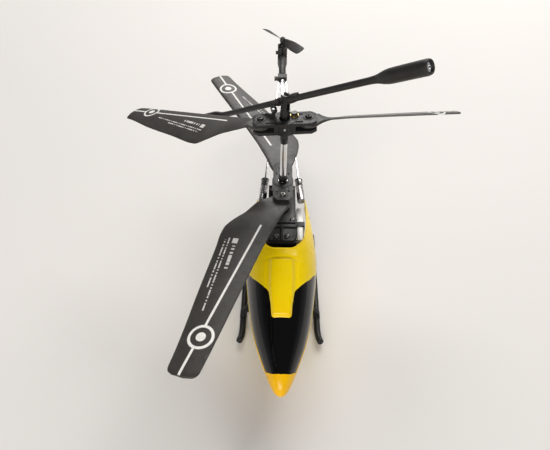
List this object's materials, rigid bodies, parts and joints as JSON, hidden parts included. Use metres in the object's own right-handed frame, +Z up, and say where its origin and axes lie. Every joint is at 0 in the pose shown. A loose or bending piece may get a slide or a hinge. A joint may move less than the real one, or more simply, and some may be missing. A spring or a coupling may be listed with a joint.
{
  "type": "toy helicopter",
  "caption": "Small coaxial toy helicopter: glossy shell canopy with dark window, stacked folding rotors, weighted stabiliser bar, strutted tail boom with a flat tail rotor, tube skids.",
  "frame": {"origin": "centre of the footprint on the ground plane the skids stand on", "axes": "+Z up the rotor mast, +Y towards the tail, nose at -Y, +X towards the side that carries the battery"},
  "size_m": [0.1512, 0.2392, 0.1307],
  "materials": {
    "yellow_shell": "glossy warm yellow, more orange towards the nose",
    "window_tint": "polished opaque black",
    "black_plastic": "satin moulded black",
    "blade_plastic": "satin warm charcoal with thin pale line graphics",
    "steel": "plain bright steel",
    "bright_chrome": "mirror chrome",
    "brass": "turned brass",
    "gear_nylon": "natural nylon",
    "white_wrap": "white film wrap",
    "board_green": "green solder mask"
  },
  "bodies": {
    "airframe": {"canopy": "yellow_shell", "canopy_window": "window_tint", "bottom_plate": "black_plastic", "top_plate": "black_plastic", "frame_left": "black_plastic", "frame_right": "black_plastic", "motor_mount": "black_plastic", "lower_bearing": "brass", "upper_bearing": "brass", "left_motor": "steel", "right_motor": "steel", "battery": "white_wrap", "battery_strap": "black_plastic", "circuit_board": "board_green", "charge_socket": "white_wrap", "switch_body": "black_plastic", "tail_boom": "bright_chrome", "boom_socket": "black_plastic", "strut_clamp": "black_plastic", "strut_left": "bright_chrome", "strut_right": "bright_chrome", "nozzle_left": "bright_chrome", "nozzle_right": "bright_chrome", "tail_mount": "black_plastic", "tail_motor": "black_plastic", "tail_fin": "black_plastic", "skid_left": "black_plastic", "skid_right": "black_plastic", "front_leg": "black_plastic", "rear_leg": "black_plastic"},
    "lower_rotor": {"outer_shaft": "steel", "outer_gear": "gear_nylon", "lower_hub": "black_plastic", "lower_aft_screw": "steel", "lower_fore_screw": "steel"},
    "lower_aft": {"lower_aft_blade": "blade_plastic"},
    "lower_fore": {"lower_fore_blade": "blade_plastic"},
    "mast": {"inner_shaft": "bright_chrome", "inner_gear": "gear_nylon", "shaft_bushing": "black_plastic", "shaft_collar": "black_plastic", "teeter_pin": "steel", "flybar_yoke": "black_plastic", "flybar_pin": "steel"},
    "upper_head": {"upper_hub": "black_plastic", "upper_right_screw": "steel", "upper_left_screw": "steel", "flybar_link": "black_plastic"},
    "upper_right": {"upper_right_blade": "blade_plastic"},
    "upper_left": {"upper_left_blade": "blade_plastic"},
    "stabiliser": {"flybar": "black_plastic", "flybar_weight_right": "steel", "flybar_weight_left": "steel"},
    "left_drive": {"left_motor_shaft": "steel", "left_pinion": "brass"},
    "right_drive": {"right_motor_shaft": "steel", "right_pinion": "brass"},
    "tail_prop": {"tail_rotor": "blade_plastic"},
    "switch": {"switch_knob": "white_wrap"}
  },
  "joints": [
    {"name": "lower_rotor_spin", "type": "hinge", "parent": "airframe", "child": "lower_rotor", "pos_m": [-0.00212, -0.02926, 0.0557], "axis": [0, 0, 1], "continuous": true},
    {"name": "mast_spin", "type": "hinge", "parent": "airframe", "child": "mast", "pos_m": [-0.00212, -0.02926, 0.0869], "axis": [0, 0, 1], "continuous": true},
    {"name": "lower_aft_fold", "type": "hinge", "parent": "lower_rotor", "child": "lower_aft", "pos_m": [-0.00212, -0.01986, 0.0557], "axis": [0, 0, 1], "range_deg": [-84, 35]},
    {"name": "lower_fore_fold", "type": "hinge", "parent": "lower_rotor", "child": "lower_fore", "pos_m": [-0.00212, -0.03866, 0.0557], "axis": [0, 0, 1], "range_deg": [-39, 80]},
    {"name": "flybar_tilt", "type": "hinge", "parent": "mast", "child": "stabiliser", "pos_m": [-0.00212, -0.02926, 0.0971], "axis": [-0.6561, -0.7547, 0], "range_deg": [-60, 0]},
    {"name": "head_teeter", "type": "hinge", "parent": "mast", "child": "upper_head", "pos_m": [-0.00212, -0.02926, 0.0869], "axis": [0, -1, 0], "range_deg": [-9, 0]},
    {"name": "upper_right_fold", "type": "hinge", "parent": "upper_head", "child": "upper_right", "pos_m": [0.00725, -0.02926, 0.08764], "axis": [-0.0785, 0, 0.9969], "range_deg": [-36, 38]},
    {"name": "upper_left_fold", "type": "hinge", "parent": "upper_head", "child": "upper_left", "pos_m": [-0.01149, -0.02926, 0.08616], "axis": [-0.0785, 0, 0.9969], "range_deg": [-7, 60]},
    {"name": "left_pinion_spin", "type": "hinge", "parent": "airframe", "child": "left_drive", "pos_m": [-0.00587, -0.04332, 0.015], "axis": [0, 0, 1], "continuous": true},
    {"name": "right_pinion_spin", "type": "hinge", "parent": "airframe", "child": "right_drive", "pos_m": [0.00163, -0.04332, 0.0188], "axis": [0, 0, 1], "continuous": true},
    {"name": "tail_rotor_spin", "type": "hinge", "parent": "airframe", "child": "tail_prop", "pos_m": [-0.00212, 0.10314, 0.0609], "axis": [0, 0, 1], "continuous": true},
    {"name": "switch_slide", "type": "slide", "parent": "airframe", "child": "switch", "axis": [0, 1, 0], "range_m": [0, 0.003]}
  ],
  "couplings": [
    {"joint": "left_pinion_spin", "follows": "mast_spin", "ratio": -3.5},
    {"joint": "right_pinion_spin", "follows": "lower_rotor_spin", "ratio": -3.5},
    {"joint": "head_teeter", "follows": "flybar_tilt", "ratio": 0.15}
  ]
}
